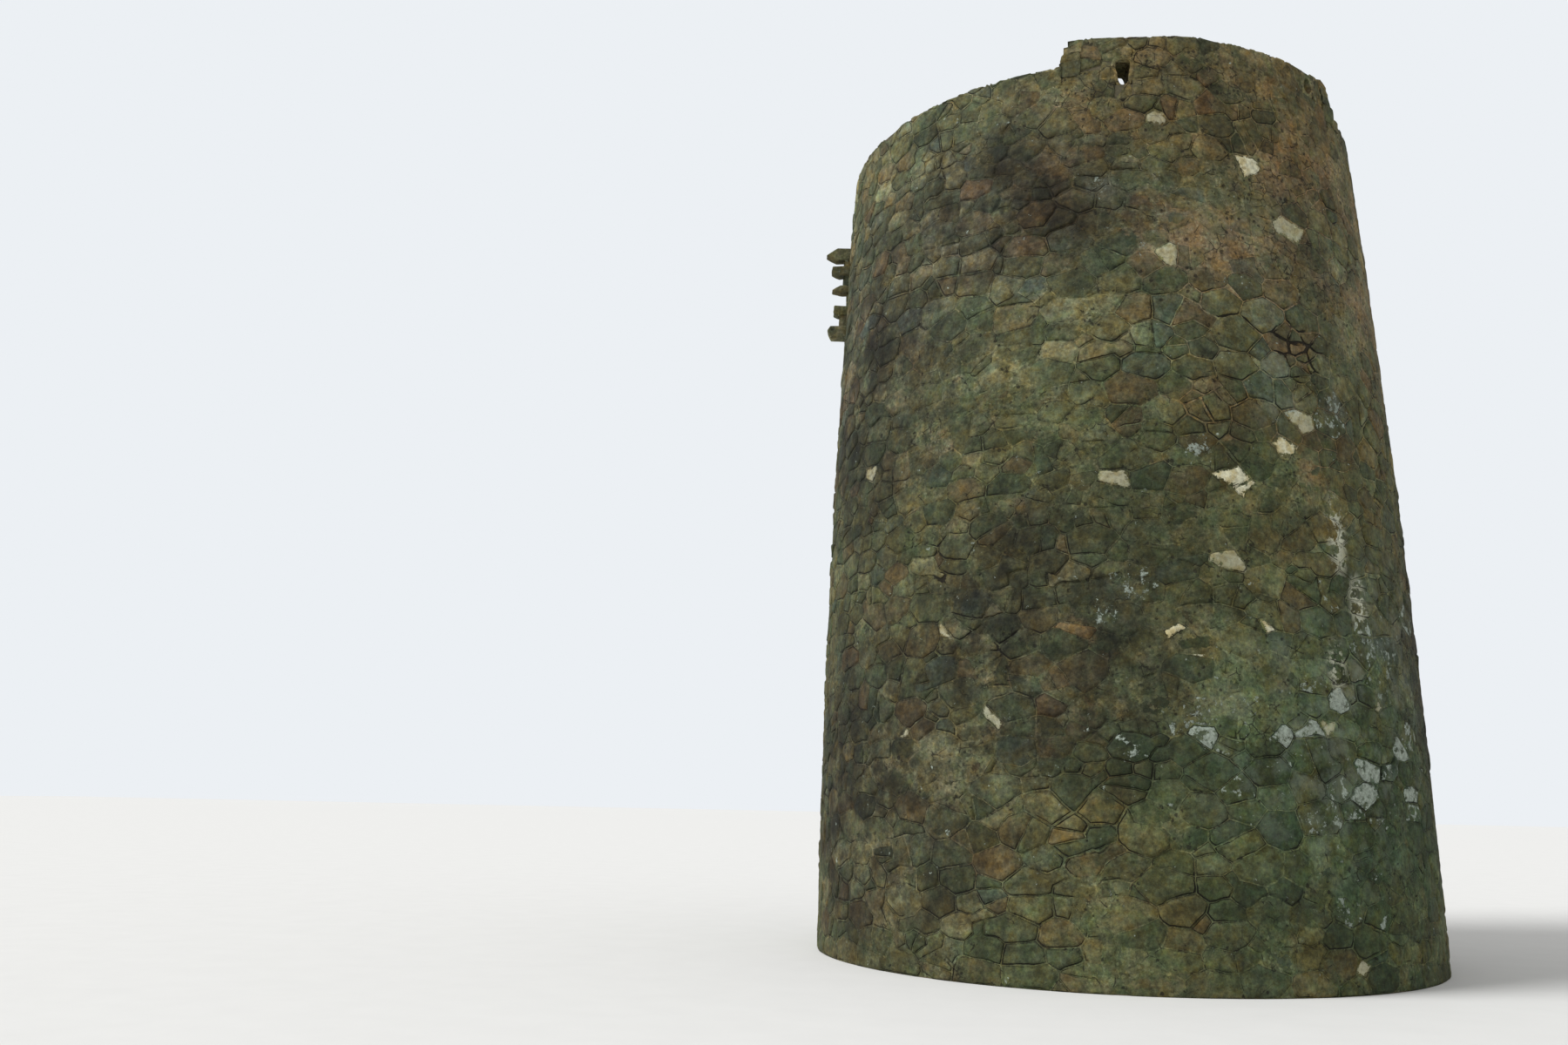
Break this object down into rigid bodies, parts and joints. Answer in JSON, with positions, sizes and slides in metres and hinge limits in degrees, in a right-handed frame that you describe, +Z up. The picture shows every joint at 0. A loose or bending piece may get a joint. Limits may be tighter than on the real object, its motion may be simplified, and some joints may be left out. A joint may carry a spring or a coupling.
{
  "type": "round coastal watchtower",
  "caption": "Leaning round watchtower of rubble stone with a raised arched doorway, a domed chamber, a broken parapet and the stubs of an overhanging box.",
  "frame": {"origin": "centre of the round foot, at the lowest ground the wall meets", "axes": "+Z up the tower's axis, -X towards the doorway and the corbel stones, -Y towards the side with the upright loophole"},
  "size_m": [7.264, 7.264, 10.36],
  "materials": {
    "rubble_wall": "rough rubble and lime mortar",
    "core_masonry": "rubble and lime core",
    "vault_masonry": "rough stone vault",
    "dressed_stone": "roughly squared stone",
    "corbel_stone": "broken stone",
    "lime_floor": "worn lime floor"
  },
  "bodies": {
    "root": {"base_core": "core_masonry", "base_wall_front": "rubble_wall", "base_wall_front_right": "rubble_wall", "base_wall_right": "rubble_wall", "base_wall_back_right": "rubble_wall", "base_wall_back": "rubble_wall", "base_wall_back_left": "rubble_wall", "base_wall_left": "rubble_wall", "base_wall_front_left": "rubble_wall", "chamber_floor": "lime_floor", "chamber_wall_front": "rubble_wall", "chamber_wall_front_right": "rubble_wall", "chamber_wall_right": "rubble_wall", "chamber_wall_back_right": "rubble_wall", "chamber_wall_back": "rubble_wall", "chamber_wall_back_left": "rubble_wall", "chamber_wall_front_left": "rubble_wall", "wall_beside_door_near": "rubble_wall", "wall_beside_door_far": "rubble_wall", "wall_over_door": "rubble_wall", "door_sill": "dressed_stone", "door_jamb_near": "dressed_stone", "door_jamb_far": "dressed_stone", "door_arch": "dressed_stone", "vault_front_right": "vault_masonry", "vault_back_right": "vault_masonry", "vault_back_left": "vault_masonry", "vault_front_left": "vault_masonry", "terrace_deck": "lime_floor", "raised_parapet_left": "rubble_wall", "left_loophole_sill": "rubble_wall", "left_loophole_lintel": "rubble_wall", "raised_parapet_middle": "rubble_wall", "right_loophole_sill": "rubble_wall", "right_loophole_lintel": "rubble_wall", "raised_parapet_right": "rubble_wall", "parapet_right": "rubble_wall", "parapet_back_right": "rubble_wall", "parapet_back_left": "rubble_wall", "parapet_left": "rubble_wall", "parapet_front_left": "rubble_wall", "corbel_stones_near": "corbel_stone", "corbel_stones_far": "corbel_stone"}
  },
  "joints": []
}
